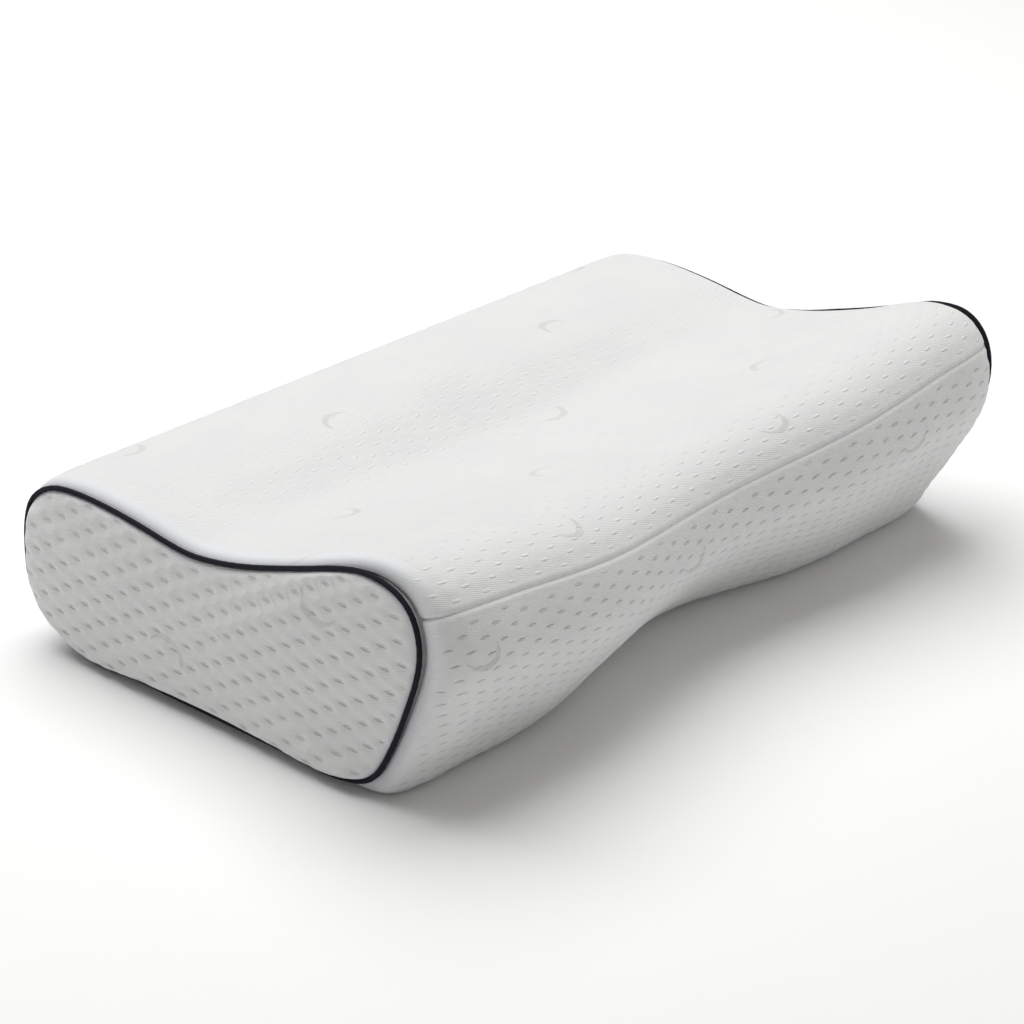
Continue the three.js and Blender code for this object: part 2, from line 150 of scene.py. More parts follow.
def rows_of(node):
    """The outer skin of a cover panel: rows along X of points that run round the pillow."""
    points = unique_points(node)
    places = np.unique(np.round(points[:, 0], 5))
    shrink = np.sort(np.abs(places))[::-1]
    shrink = shrink[shrink < shrink[0] - 1e-5][0] / shrink[0]
    outer = [x for x in places if x == 0 or not np.any(np.abs(places - x / shrink) < 3e-5)]
    rows = []
    for x in outer:
        row = points[np.abs(points[:, 0] - x) < 2e-5]
        if x == 0:
            row = drop_inner(row)
        angle = np.arctan2(row[:, 2] - ZIP_LINE.z, row[:, 1]) % (2 * math.pi)
        rows.append(row[np.argsort(angle)])
    return np.array(rows)


def drop_inner(row):
    """Of points in close pairs, one behind the other, only the outer ones."""
    middle = row.mean(axis=0)
    reach = np.linalg.norm(row - middle, axis=1)
    gaps = np.linalg.norm(row[:, None] - row[None], axis=2)
    np.fill_diagonal(gaps, 1)
    partner = gaps.argmin(axis=1)
    return row[reach > reach[partner]]


# ---------------------------------------------------------------- smooth grids

def smooth_through(points, knots, wanted):
    """A smooth curve through points at knots, along their first axis, read at wanted."""
    step = np.diff(knots)
    slope = np.diff(points, axis=0) / step.reshape(-1, *[1] * (points.ndim - 1))
    before, after = step[:-1], step[1:]
    weight = (after / (before + after)).reshape(-1, *[1] * (points.ndim - 1))
    tangent = np.concatenate([
        slope[:1],
        slope[:-1] * weight + slope[1:] * (1 - weight),
        slope[-1:],
    ])
    at = np.clip(np.searchsorted(knots, wanted, side="right") - 1, 0, len(step) - 1)
    width = step[at]
    t = (wanted - knots[at]) / width
    shape = [-1] + [1] * (points.ndim - 1)
    t, width = t.reshape(shape), width.reshape(shape)
    return (
        points[at] * (1 + 2 * t) * (1 - t) ** 2
        + points[at + 1] * t * t * (3 - 2 * t)
        + tangent[at] * width * t * (1 - t) ** 2
        - tangent[at + 1] * width * t * t * (1 - t)
    )


def mean_lengths(grid, axis):
    """Mean distance along an axis of a grid of points, from its start."""
    step = np.linalg.norm(np.diff(grid, axis=axis), axis=2).mean(axis=1 - axis)
    return np.concatenate([[0], np.cumsum(step)])


def own_lengths(grid, axis):
    """Distance along an axis of a grid for each of its points, from its start."""
    step = np.linalg.norm(np.diff(grid, axis=axis), axis=2)
    start = np.zeros_like(np.take(step, [0], axis=axis))
    return np.concatenate([start, np.cumsum(step, axis=axis)], axis=axis)


def spread(length):
    """Places along a length, KNIT_STEP apart, with closer ones by its sewn edges."""
    start = np.array([0, 0.25, 0.55, 0.95, 1.5, 2.2, 3.1]) * MM
    end = length - start[::-1]
    count = round((end[0] - start[-1]) / KNIT_STEP)
    count += (-(len(start) + len(end) + count - 2)) % LINING_STRIDE
    middle = np.linspace(start[-1], end[0], count + 1)[1:-1]
    return np.concatenate([start, middle, end])


def normals_of(grid):
    """Outward unit normals of a grid whose rows run along X and then round the pillow."""
    along = np.gradient(grid, axis=0)
    across = np.gradient(grid, axis=1)
    normal = np.cross(across, along)
    normal /= np.linalg.norm(normal, axis=2, keepdims=True)
    return normal


# ---------------------------------------------------------------- quilting

def puff(u, v):
    """0 at each dimple and 1 between them, at cloth coordinates u and v."""
    nearest = None
    for shift in (0.0, 0.5):
        du = ((u / DIMPLE_CELL[0] + shift + 0.5) % 1 - 0.5) * DIMPLE_CELL[0]
        dv = ((v / DIMPLE_CELL[1] + shift + 0.5) % 1 - 0.5) * DIMPLE_CELL[1]
        away = np.sqrt((0.8 * du) ** 2 + dv ** 2) / PUFF_RADIUS
        nearest = away if nearest is None else np.minimum(nearest, away)
    t = np.clip(nearest, 0, 1)
    return t * t * (3 - 2 * t)


def laid(u, v, lay):
    """Cloth coordinates of places on a panel."""
    return lay[0][0] * u + lay[0][1] * v, lay[1][0] * u + lay[1][1] * v


def leaf_places(u, v, panel):
    """Cloth coordinates about the middle of one leaf."""
    place = LEAF_PLACE[panel]
    return u + LEAF_SLANT * v - place[0], v - place[1]


def ramp(values, start, end):
    """A smooth step from 0 at start to 1 at end."""
    t = np.clip((values - start) / (end - start), 0, 1)
    return t * t * (3 - 2 * t)


# ---------------------------------------------------------------- meshes

def new_object(name, points, faces, uvs, values):
    """A smooth mesh object, with named UV maps and named values, one for each point."""
    mesh = bpy.data.meshes.new(name)
    mesh.from_pydata([tuple(p) for p in points], [], faces)
    mesh.polygons.foreach_set("use_smooth", [True] * len(mesh.polygons))
    corner = np.zeros(len(mesh.loops), np.int32)
    mesh.loops.foreach_get("vertex_index", corner)
    for label, places in uvs.items():
        layer = mesh.uv_layers.new(name=label)
        layer.data.foreach_set("uv", np.asarray(places, np.float32)[corner].ravel())
    for key, numbers in values.items():
        attribute = mesh.attributes.new(key, "FLOAT", "POINT")
        attribute.data.foreach_set("value", np.asarray(numbers, np.float32))
    mesh.update()
    made = bpy.data.objects.new(name, mesh)
    bpy.context.scene.collection.objects.link(made)
    return made


def grid_faces(rows, columns, start=0, flip=False, closed=False):
    """Quads between the rows of a grid of points, joined up round each row if closed."""
    faces = []
    for i in range(rows - 1):
        for j in range(columns if closed else columns - 1):
            k = (j + 1) % columns
            face = [start + i * columns + j, start + i * columns + k,
                    start + (i + 1) * columns + k, start + (i + 1) * columns + j]
            faces.append(face[::-1] if flip else face)
    return faces


def thick_panel(name, outer, uv, values):
    """A sheet with a fine outer side, a coarser inner side and a closed rim."""
    rows, columns = outer.shape[:2]
    inner = outer - normals_of(outer) * COVER_THICKNESS
    stride = LINING_STRIDE
    coarse = inner[::stride, ::stride]
    lining_rows, lining_columns = coarse.shape[:2]
    start = rows * columns
    faces = grid_faces(rows, columns, 0, flip=True)
    faces += grid_faces(lining_rows, lining_columns, start)

    def front(i, j):
        return i * columns + j

    def back(i, j):
        return start + (i // stride) * lining_columns + j // stride

    for j in range(0, columns - 1, stride):
        run = range(j, j + stride + 1)
        faces.append([front(0, k) for k in run] + [back(0, j + stride), back(0, j)])
        last = rows - 1
        faces.append([front(last, k) for k in run][::-1] + [back(last, j), back(last, j + stride)])
    for i in range(0, rows - 1, stride):
        run = range(i, i + stride + 1)
        faces.append([front(k, 0) for k in run][::-1] + [back(i, 0), back(i + stride, 0)])
        last = columns - 1
        faces.append([front(k, last) for k in run] + [back(i + stride, last), back(i, last)])
    points = np.concatenate([outer.reshape(-1, 3), coarse.reshape(-1, 3)])

    def both(numbers):
        return np.concatenate([
            numbers.reshape(-1, *numbers.shape[2:]),
            numbers[::stride, ::stride].reshape(-1, *numbers.shape[2:]),
        ])

    uvs = {label: both(places) for label, places in uv.items()}
    return new_object(name, points, faces, uvs, {k: both(n) for k, n in values.items()})


def cover_panel(node, seam_at_start):
    """A quilted panel over a CAD panel, the size of its cut, and its row of zip stitches."""
    rows = rows_of(node)
    if not seam_at_start:
        rows = rows[:, ::-1]
    # Column 0 is now the front seam and the last column is the zip's edge.
    along_knots = mean_lengths(rows, 0)
    round_knots = mean_lengths(rows, 1)
    along = spread(along_knots[-1])
    around = spread(round_knots[-1])
    grid = smooth_through(rows, along_knots, along)
    grid = smooth_through(grid.swapaxes(0, 1), round_knots, around).swapaxes(0, 1)
    normal = normals_of(grid)
    if normal[len(along) // 2, :, 2].sum() * (1 if node == "top_panel" else -1) < 0:
        normal = -normal
    from_left = own_lengths(grid, 0)
    u = from_left - from_left[len(along) // 2]
    from_end = np.minimum(from_left, from_left[-1:] - from_left)
    v = own_lengths(grid, 1)
    from_zip = v[:, -1:] - v
    smooth_band = 1 - ramp(from_end, BAND_WIDTH * 0.55, BAND_WIDTH * 1.25)
    quilt = (1 - smooth_band) * ramp(v, 2 * MM, 7 * MM) * ramp(from_zip, 3 * MM, 8 * MM)
    cloth_v = v if node == "top_panel" else -v
    panel = node.split("_")[0]
    cloth = laid(u, cloth_v, TOP_LAY if panel == "top" else FRONT_LAY)
    height = PUFF_HEIGHT[panel] * (puff(*cloth) - 0.5) * quilt
    pucker = np.sin(2 * math.pi * u / PUCKER_PITCH + 1.7 * np.sin(u * 61.0))
    by_seam = np.exp(-((v / (2.2 * SEAM_ROLL)) ** 2))
    height += PUCKER_HEIGHT * pucker * by_seam
    height -= SEAM_DEPTH * np.exp(-((v / SEAM_ROLL) ** 2))
    height -= EDGE_DROP * np.exp(-((from_end / EDGE_ROLL) ** 2))
    right_front = ramp(-grid[..., 1], RIGHT_FRONT_START, RIGHT_FRONT_FULL) * (grid[..., 0] > 0)
    height += RIGHT_FRONT_FLARE * right_front * np.exp(-((from_end / RIGHT_FRONT_ROLL) ** 2))
    height -= ZIP_EDGE_DEPTH * np.exp(-((from_zip / SEAM_ROLL) ** 2))
    grid = grid + normal * height[..., None]
    tuck = np.exp(-((from_end / TUCK_ROLL) ** 2))
    grid[..., 0] -= np.sign(grid[..., 0]) * tuck * TUCK_DEPTH
    grid[..., 2] = np.maximum(grid[..., 2], 0.0)
    turn = np.cross(grid[0, 1] - grid[0, 0], grid[1, 0] - grid[0, 0]).dot(normal[0, 0])
    order = slice(None, None, -1 if turn < 0 else 1)
    uv = {
        "cloth": np.stack(cloth, axis=2)[:, order],
        "leaf": np.stack(leaf_places(u, cloth_v, panel), axis=2)[:, order],
    }
    # The dimples' press, which also sets the dashes' painted light and shade in the shader.
    press_and_shade = quilt * (PRESS_AND_SHADE[panel] + SEAM_PRESS_AND_SHADE * np.exp(-((v / SEAM_PRESS_AND_SHADE_REACH) ** 2)))
    values = {"band": smooth_band[:, order], "press_and_shade": press_and_shade[:, order]}
    stitched = int(np.argmax(from_zip.mean(axis=0) < STITCH_INSET))
    away = from_end.mean(axis=1) > STITCH_START
    row = (grid + normal * 0.1 * MM)[away, stitched]
    cut = (float(along[-1]), float(around[-1]))
    return thick_panel(f"{panel}_cover", grid[:, order], uv, values), cut, row


# ---------------------------------------------------------------- end panels and piping

def end_ring(side):
    """The closed edge of the cover round one end, as evenly spaced points."""
    top = rows_of("top_panel")
    bottom = rows_of("bottom_panel")
    row = -1 if side > 0 else 0
    ring = np.concatenate([top[row], bottom[row][1:]])
    keep = np.linalg.norm(np.diff(ring, axis=0, append=ring[:1]), axis=1) > 0.6 * MM
    ring = ring[keep]
    wrapped = np.concatenate([ring[-3:], ring, ring[:4]])
    knots = np.concatenate([[0], np.cumsum(np.linalg.norm(np.diff(wrapped, axis=0), axis=1))])
    first, last = knots[3], knots[3 + len(ring)]
    places = np.linspace(first, last, END_SPOKES, endpoint=False)
    return smooth_through(wrapped, knots, places)


def ring_directions(ring):
    """Outward unit directions of a closed ring that lies across X."""
    tangent = np.roll(ring, -1, axis=0) - np.roll(ring, 1, axis=0)
    normal = np.stack([np.zeros(len(ring)), tangent[:, 2], -tangent[:, 1]], axis=1)
    return normal / np.linalg.norm(normal, axis=1, keepdims=True)


def bead_path(side):
    """The middle line of the piping bead round one end."""
    ring = end_ring(side)
    low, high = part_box(f"{'right' if side > 0 else 'left'}_piping_binding")
    edge = ring[:, 2].max()
    rise = np.full((len(ring), 1), BEAD_RISE)
    if side > 0:
        rise += np.interp(ring[:, 1:2], RIGHT_RISE_PLACES, RIGHT_RISES)
    inset = edge - (high.z - BINDING_RADIUS) - rise
    path = evened(ring - ring_directions(ring) * inset)
    path[:, 2] = np.maximum(path[:, 2], BEAD_RADIUS)
    path[:, 0] = (low.x + high.x) / 2 + side * 0.1 * MM
    return path


def evened(path):
    """A closed path with its small kinks averaged out."""
    weights = np.hanning(2 * PATH_SMOOTHING + 3)[1:-1]
    weights /= weights.sum()
    shifts = range(-PATH_SMOOTHING, PATH_SMOOTHING + 1)
    return sum(w * np.roll(path, s, axis=0) for w, s in zip(weights, shifts))


def end_panel(name, side):
    """A domed, quilted end panel inside the piping, as spokes of points to its middle."""
    path = bead_path(side)
    outward = ring_directions(path)
    edge = path - outward * (BEAD_RADIUS * 0.5)
    edge[:, 0] = side * (HALF_LENGTH - TUCK_DEPTH)
    centre = np.array([edge[0, 0], 0.5 * (edge[:, 1].min() + edge[:, 1].max()), ZIP_LINE.z * 0.9])
    share = np.linspace(1, 0, END_RINGS)[:-1]
    share = np.concatenate([[1, 0.996, 0.991], share[1:]])
    length = np.linalg.norm(edge - centre, axis=1)
    grid = centre + (edge - centre)[None] * share[:, None, None]
    from_edge = (1 - share)[:, None] * length[None]
    u, v = grid[..., 1].copy(), grid[..., 2].copy()
    quilt = ramp(from_edge, *END_BAND)
    cloth = laid(u, v, END_LAY)
    low = ramp(outward[:, 1] - outward[:, 2], -0.3, 0.8)
    inner = ramp(1 - share, 0.05, 0.8)[:, None]
    lip = END_LIP + END_LIP_LOW * (low * (1 - inner) + low.mean() * inner)
    height = lip * (1 - np.exp(-from_edge / END_LIP_ROLL))
    height += END_BULGE * (1 - np.exp(-from_edge / END_BULGE_ROLL))
    height += PUFF_HEIGHT["end"] * (puff(*cloth) - 0.5) * quilt
    grid[..., 0] += side * height
    points = grid.reshape(-1, 3)
    rings, spokes = grid.shape[:2]
    faces = grid_faces(rings, spokes, flip=side < 0, closed=True)
    tip = len(points)
    last = (rings - 1) * spokes
    for j in range(spokes):
        face = [last + j, last + (j + 1) % spokes, tip]
        faces.append(face[::-1] if side < 0 else face)
    top = np.array([grid[-1, :, 0].mean(), centre[1], centre[2]])
    back = edge[::LINING_STRIDE].copy()
    back[:, 0] = side * (HALF_LENGTH - COVER_THICKNESS - TUCK_DEPTH)
    back_start = tip + 1
    count = len(back)
    for j in range(0, spokes, LINING_STRIDE):
        run = [(j + k) % spokes for k in range(LINING_STRIDE + 1)]
        k = j // LINING_STRIDE
        face = run[::-1] + [back_start + k, back_start + (k + 1) % count]
        faces.append(face[::-1] if side < 0 else face)
    hub = back_start + count
    for k in range(count):
        face = [back_start + (k + 1) % count, back_start + k, hub]
        faces.append(face[::-1] if side < 0 else face)
    under = centre.copy()
    under[0] = back[0, 0]
    extra = np.concatenate([[top], back, [under]])
    points = np.concatenate([points, extra])
    extra_cloth = np.stack(laid(extra[:, 1], extra[:, 2], END_LAY), axis=1)
    places = np.concatenate([np.stack(cloth, axis=2).reshape(-1, 2), extra_cloth])
    uvs = {"cloth": places, "leaf": np.stack(leaf_places(*places.T, "end"), axis=1)}
    plain = np.zeros(len(extra))
    # The press value also sets the dashes' painted shade on the ends.
    values = {
        "band": np.concatenate([1 - quilt.ravel(), plain]),
        "press_and_shade": np.concatenate([quilt.ravel() * PRESS_AND_SHADE["end"], plain]),
    }
    return new_object(f"{name}_end_cover", points, faces, uvs, values)


def tube(name, side, path, radius, steps):
    """A round tube along the closed piping path of one end."""
    outward = ring_directions(path)
    along = np.concatenate([[0], np.cumsum(np.linalg.norm(np.diff(path, axis=0), axis=1))])
    # The cloth over the cord is a little uneven.
    turns = np.linspace(0, 2 * math.pi, steps, endpoint=False)
    ripple = 1 + 0.03 * np.sin(2 * math.pi * along / (7 * MM)) * np.sin(along * 37)
    points = []
    uvs = []
    for place, radial, distance, size in zip(path, outward, along, ripple):
        for turn in turns:
            offset = radial * math.cos(turn) + np.array([side, 0, 0]) * math.sin(turn)
            points.append(place + offset * radius * size)
            uvs.append((distance, turn * radius))
    faces = grid_faces(len(path) + 1, steps, flip=side < 0, closed=True)
    total = len(points)
    faces = [[k % total for k in face] for face in faces]
    return new_object(name, points, faces, {"cloth": uvs}, {})


# ---------------------------------------------------------------- shader helpers

class Nodes:
    """Short ways to add nodes to one tree."""

    def __init__(self, tree):
        self.tree = tree

    def add(self, kind, **settings):
        node = self.tree.nodes.new(kind)
        for key, value in settings.items():
            setattr(node, key, value)
        return node

    def link(self, source, target):
        self.tree.links.new(source, target)

    def feed(self, value, socket):
        if isinstance(value, bpy.types.NodeSocket):
            self.link(value, socket)
        else:
            socket.default_value = value

    def math(self, operation, *values):
        node = self.add("ShaderNodeMath", operation=operation)
        for value, socket in zip(values, node.inputs):
            self.feed(value, socket)
        return node.outputs[0]

    def vector(self, operation, *values):
        node = self.add("ShaderNodeVectorMath", operation=operation)
        for value, socket in zip(values, node.inputs):
            self.feed(value, socket)
        return node.outputs["Value"] if operation == "LENGTH" else node.outputs["Vector"]

    def times(self, value, factor):
        return self.math("MULTIPLY", value, factor)

    def plus(self, value, other, factor=1.0):
        """value, and factor times other."""
        return self.math("ADD", value, self.times(other, factor))

    def wave(self, value, pitch):
        """A sine wave that repeats every pitch of value."""
        return self.math("SINE", self.times(value, 2 * math.pi / pitch))

    def smooth(self, value, low, high, out_low=0.0, out_high=1.0):
        node = self.add("ShaderNodeMapRange", interpolation_type="SMOOTHSTEP")
        for wanted, number in (("Value", value), ("From Min", low), ("From Max", high),
                               ("To Min", out_low), ("To Max", out_high)):
            self.feed(number, node.inputs[wanted])
        return node.outputs["Result"]

    def mix(self, factor, first, second):
        node = self.add("ShaderNodeMix", data_type="RGBA")
        for value, socket in ((factor, node.inputs[0]), (first, node.inputs[6]),
                              (second, node.inputs[7])):
            self.feed(value, socket)
        return node.outputs[2]

    def noise(self, vector, scale, detail=2.0, roughness=0.5):
        node = self.add("ShaderNodeTexNoise")
        self.feed(vector, node.inputs["Vector"])
        node.inputs["Scale"].default_value = scale
        node.inputs["Detail"].default_value = detail
        node.inputs["Roughness"].default_value = roughness
        return node.outputs["Fac"]

    def split(self, vector):
        node = self.add("ShaderNodeSeparateXYZ")
        self.feed(vector, node.inputs[0])
        return node.outputs

    def combine(self, x, y, z=0.0):
        node = self.add("ShaderNodeCombineXYZ")
        for value, socket in zip((x, y, z), node.inputs):
            self.feed(value, socket)
        return node.outputs[0]


def new_group(name, inputs, outputs):
    """A shader group with named sockets, its helper, and its input and output nodes."""
    tree = bpy.data.node_groups.new(name, "ShaderNodeTree")
    for label, kind, value in inputs:
        socket = tree.interface.new_socket(label, in_out="INPUT", socket_type=kind)
        if value is not None:
            socket.default_value = value
    for label, kind in outputs:
        tree.interface.new_socket(label, in_out="OUTPUT", socket_type=kind)
    nodes = Nodes(tree)
    return tree, nodes, nodes.add("NodeGroupInput"), nodes.add("NodeGroupOutput")


def lattice_group():
    """Masks of pin dimples in a staggered lattice, and of the puffs between them."""
    tree, nodes, source, sink = new_group(
        "pin_dimples",
        [("Cloth", "NodeSocketVector", None),
         ("Cell U", "NodeSocketFloat", DIMPLE_CELL[0]),
         ("Cell V", "NodeSocketFloat", DIMPLE_CELL[1]),
         ("Half U", "NodeSocketFloat", DIMPLE_HALF[0]),
         ("Half V", "NodeSocketFloat", DIMPLE_HALF[1])],
        [("Dimple", "NodeSocketFloat"), ("Puff", "NodeSocketFloat")],
    )
    cell = nodes.combine(source.outputs["Cell U"], source.outputs["Cell V"], 1.0)
    half = nodes.combine(source.outputs["Half U"], source.outputs["Half V"], 1.0)
    share = nodes.vector("DIVIDE", source.outputs["Cloth"], cell)
    dimple, puffed = None, None
    for shift in (0.0, 0.5):
        moved = nodes.vector("ADD", share, (shift + 0.5, shift + 0.5, 0.0))
        local = nodes.vector("SUBTRACT", nodes.vector("FRACTION", moved), (0.5, 0.5, 0.0))
        local = nodes.vector("MULTIPLY", local, cell)
        away = nodes.vector("LENGTH", nodes.vector("DIVIDE", local, half))
        wide = nodes.vector("LENGTH", nodes.vector("MULTIPLY", local, (0.8, 1.0, 0.0)))
        dimple = away if dimple is None else nodes.math("MINIMUM", dimple, away)
        puffed = wide if puffed is None else nodes.math("MINIMUM", puffed, wide)
    nodes.link(nodes.smooth(dimple, 0.35, 1.15, 1.0, 0.0), sink.inputs["Dimple"])
    nodes.link(nodes.smooth(puffed, 0.0, PUFF_RADIUS), sink.inputs["Puff"])
    return tree


def motif_group():
    """Mask of sparse crescent leaves, woven flat, in a staggered lattice."""
    tree, nodes, source, sink = new_group(
        "crescent_leaves",
        [("Cloth", "NodeSocketVector", None),
         ("Cell U", "NodeSocketFloat", LEAF_CELL[0]),
         ("Cell V", "NodeSocketFloat", LEAF_CELL[1]),
         ("Radius", "NodeSocketFloat", LEAF_RADIUS),
         ("Turn", "NodeSocketFloat", LEAF_TURN)],
        [("Leaf", "NodeSocketFloat")],
    )
    cell = nodes.combine(source.outputs["Cell U"], source.outputs["Cell V"], 1.0)
    share = nodes.vector("DIVIDE", source.outputs["Cloth"], cell)
    leaf = None
    for shift, extra_turn in ((0.0, 0.0), (0.5, math.pi)):
        moved = nodes.vector("ADD", share, (shift + 0.5, shift + 0.5, 0.0))
        local = nodes.vector("SUBTRACT", nodes.vector("FRACTION", moved), (0.5, 0.5, 0.0))
        local = nodes.vector("MULTIPLY", local, cell)
        turned = nodes.add("ShaderNodeVectorRotate", rotation_type="Z_AXIS")
        nodes.link(local, turned.inputs["Vector"])
        angle = nodes.math("ADD", source.outputs["Turn"], extra_turn)
        nodes.link(angle, turned.inputs["Angle"])
        axes = nodes.split(turned.outputs[0])
        flat = nodes.combine(axes[0], axes[1], 0.0)
        radius = source.outputs["Radius"]
        outer = nodes.math("DIVIDE", nodes.vector("LENGTH", flat), radius)
        offset = nodes.combine(0.0, nodes.times(radius, 0.36))
        shifted = nodes.vector("SUBTRACT", flat, offset)
        inner = nodes.math("DIVIDE", nodes.vector("LENGTH", shifted), radius)
        inside = nodes.smooth(outer, 0.94, 1.0, 1.0, 0.0)
        outside = nodes.smooth(inner, 0.98, 1.04)
        vein = nodes.smooth(nodes.wave(axes[0], 1.2 * MM), -1.0, 0.4, 0.45, 1.0)
        shape = nodes.times(nodes.times(inside, outside), vein)
        leaf = shape if leaf is None else nodes.math("MAXIMUM", leaf, shape)
    nodes.link(leaf, sink.inputs["Leaf"])
    return tree


def knit_group():
    """Height of a fine knit: slanted ribs crossed by rows of loops."""
    tree, nodes, source, sink = new_group(
        "fine_knit",
        [("Cloth", "NodeSocketVector", None), ("Pitch", "NodeSocketFloat", 1.3 * MM)],
        [("Height", "NodeSocketFloat"), ("Fuzz", "NodeSocketFloat")],
    )
    axes = nodes.split(source.outputs["Cloth"])
    pitch = source.outputs["Pitch"]
    turn = 2 * math.pi
    slant = nodes.plus(axes[1], axes[0], 0.35)
    rib = nodes.math("SINE", nodes.math("DIVIDE", nodes.times(slant, turn), pitch))
    loop = nodes.math("SINE", nodes.math("DIVIDE", nodes.times(axes[0], turn * 1.3), pitch))
    both = nodes.plus(nodes.times(rib, 0.6), loop, 0.25)
    fuzz = nodes.noise(source.outputs["Cloth"], 1400.0, 3.0, 0.6)
    nodes.link(nodes.plus(0.5, both, 0.5), sink.inputs["Height"])
    nodes.link(fuzz, sink.inputs["Fuzz"])
    return tree


LATTICE = lattice_group()
MOTIF = motif_group()
KNIT = knit_group()


def new_material(name, **constants):
    """A material, its helper and its Principled shader with constant sockets set."""
    material = bpy.data.materials.new(name)
    material.use_nodes = True
    shader = material.node_tree.nodes["Principled BSDF"]
    for label, value in constants.items():
        shader.inputs[label.replace("_", " ")].default_value = value
    return material, Nodes(material.node_tree), shader


def place_group(nodes, tree, **values):
    """The outputs of a shader group placed in a material, with its own values."""
    node = nodes.add("ShaderNodeGroup", node_tree=tree)
    for label, value in values.items():
        nodes.feed(value, node.inputs[label.replace("_", " ")])
    return node.outputs


def bump(nodes, shader, height, distance):
    node = nodes.add("ShaderNodeBump")
    node.inputs["Distance"].default_value = distance
    nodes.link(height, node.inputs["Height"])
    nodes.link(node.outputs[0], shader.inputs["Normal"])


def quilted_knit():
    """White double knit with pin dimples, crescent leaves, a smooth band by the piping, and
    painted light and shade on the dimples' dashes.
    """
    material, nodes, shader = new_material(
        "quilted_knit", Roughness=0.85, Sheen_Weight=0.25, Sheen_Roughness=0.5,
    )
    cloth = nodes.add("ShaderNodeUVMap", uv_map="cloth").outputs[0]
    band = nodes.add("ShaderNodeAttribute", attribute_name="band").outputs["Fac"]
    press_and_shade = nodes.add("ShaderNodeAttribute", attribute_name="press_and_shade").outputs["Fac"]
    leaves = nodes.add("ShaderNodeUVMap", uv_map="leaf").outputs[0]
    wobble = nodes.add("ShaderNodeTexNoise")
    nodes.link(cloth, wobble.inputs["Vector"])
    wobble.inputs["Scale"].default_value = 60.0
    centred = nodes.vector("SUBTRACT", wobble.outputs["Color"], (0.5, 0.5, 0.5))
    moved = nodes.vector("MULTIPLY", centred, (0.8 * MM, 0.8 * MM, 0.0))
    worn = nodes.vector("ADD", cloth, moved)
    dimples = place_group(nodes, LATTICE, Cloth=worn)
    leaf = place_group(nodes, MOTIF, Cloth=leaves)["Leaf"]
    knit = place_group(nodes, KNIT, Cloth=cloth)
    pressed_and_shaded = nodes.times(press_and_shade, nodes.math("SUBTRACT", 1.0, leaf))
    dimple = nodes.times(dimples["Dimple"], pressed_and_shaded)
    # Mask of where the dashes' painted light and shade go.
    painted_dash_mask = nodes.times(dimples["Dimple"], nodes.smooth(pressed_and_shaded, 0.0, 0.4))
    tone = nodes.smooth(nodes.noise(cloth, 25.0, 3.0), 0.3, 0.7)
    base = nodes.mix(tone, (0.765, 0.768, 0.772, 1), (0.79, 0.79, 0.787, 1))
    base = nodes.mix(nodes.times(band, 0.6), base, (0.80, 0.82, 0.86, 1))
    # Painted light and shade on the dashes: shallow ones get a painted highlight, as if catching
    # the light, and deep ones painted shade, as if lying in their own shade.
    painted_dash_shade = nodes.smooth(press_and_shade, 0.6, 1.1)
    painted_dash_light_and_shade = nodes.mix(painted_dash_shade, (0.88, 0.88, 0.88, 1), (0.58, 0.56, 0.53, 1))
    base = nodes.mix(nodes.times(painted_dash_mask, 0.5), base, painted_dash_light_and_shade)
    base = nodes.mix(nodes.times(leaf, 0.45), base, (0.55, 0.54, 0.51, 1))
    base = nodes.mix(nodes.times(knit["Fuzz"], 0.10), base, (0.62, 0.62, 0.62, 1))
    nodes.link(base, shader.inputs["Base Color"])
    nodes.link(nodes.plus(0.78, knit["Fuzz"], 0.16), shader.inputs["Roughness"])
    height = nodes.times(dimples["Puff"], nodes.times(pressed_and_shaded, 0.35))
    height = nodes.plus(height, dimple, -0.6)
    height = nodes.plus(height, knit["Height"], 0.14)
    height = nodes.plus(height, knit["Fuzz"], 0.12)
    bump(nodes, shader, height, 1.0 * MM)
    return material


def bias_binding():
    """Near-black navy cloth cut on the bias, wound over a cord."""
    material, nodes, shader = new_material("navy_bias_binding", Specular_IOR_Level=0.25)
    cloth = nodes.add("ShaderNodeUVMap", uv_map="cloth").outputs[0]
    axes = nodes.split(cloth)
    first = nodes.wave(nodes.plus(axes[0], axes[1]), 0.9 * MM)
    second = nodes.wave(nodes.plus(axes[0], axes[1], -1.0), 0.99 * MM)
    weave = nodes.plus(nodes.times(first, 0.35), second, 0.15)
    fuzz = nodes.noise(cloth, 900.0, 3.0)
    valley_painted_shade, thread_top, lint = BLACK_NAVY
    # Painted shade: the weave's valleys are darker than the thread tops.
    base = nodes.mix(nodes.smooth(weave, -0.4, 0.5), valley_painted_shade, thread_top)
    base = nodes.mix(nodes.times(fuzz, 0.2), base, lint)
    nodes.link(base, shader.inputs["Base Color"])
    nodes.link(nodes.plus(0.62, fuzz, 0.25), shader.inputs["Roughness"])
    bump(nodes, shader, nodes.plus(weave, fuzz, 0.4), 0.22 * MM)
    return material


def on_object(nodes):
    return nodes.add("ShaderNodeTexCoord").outputs["Object"]


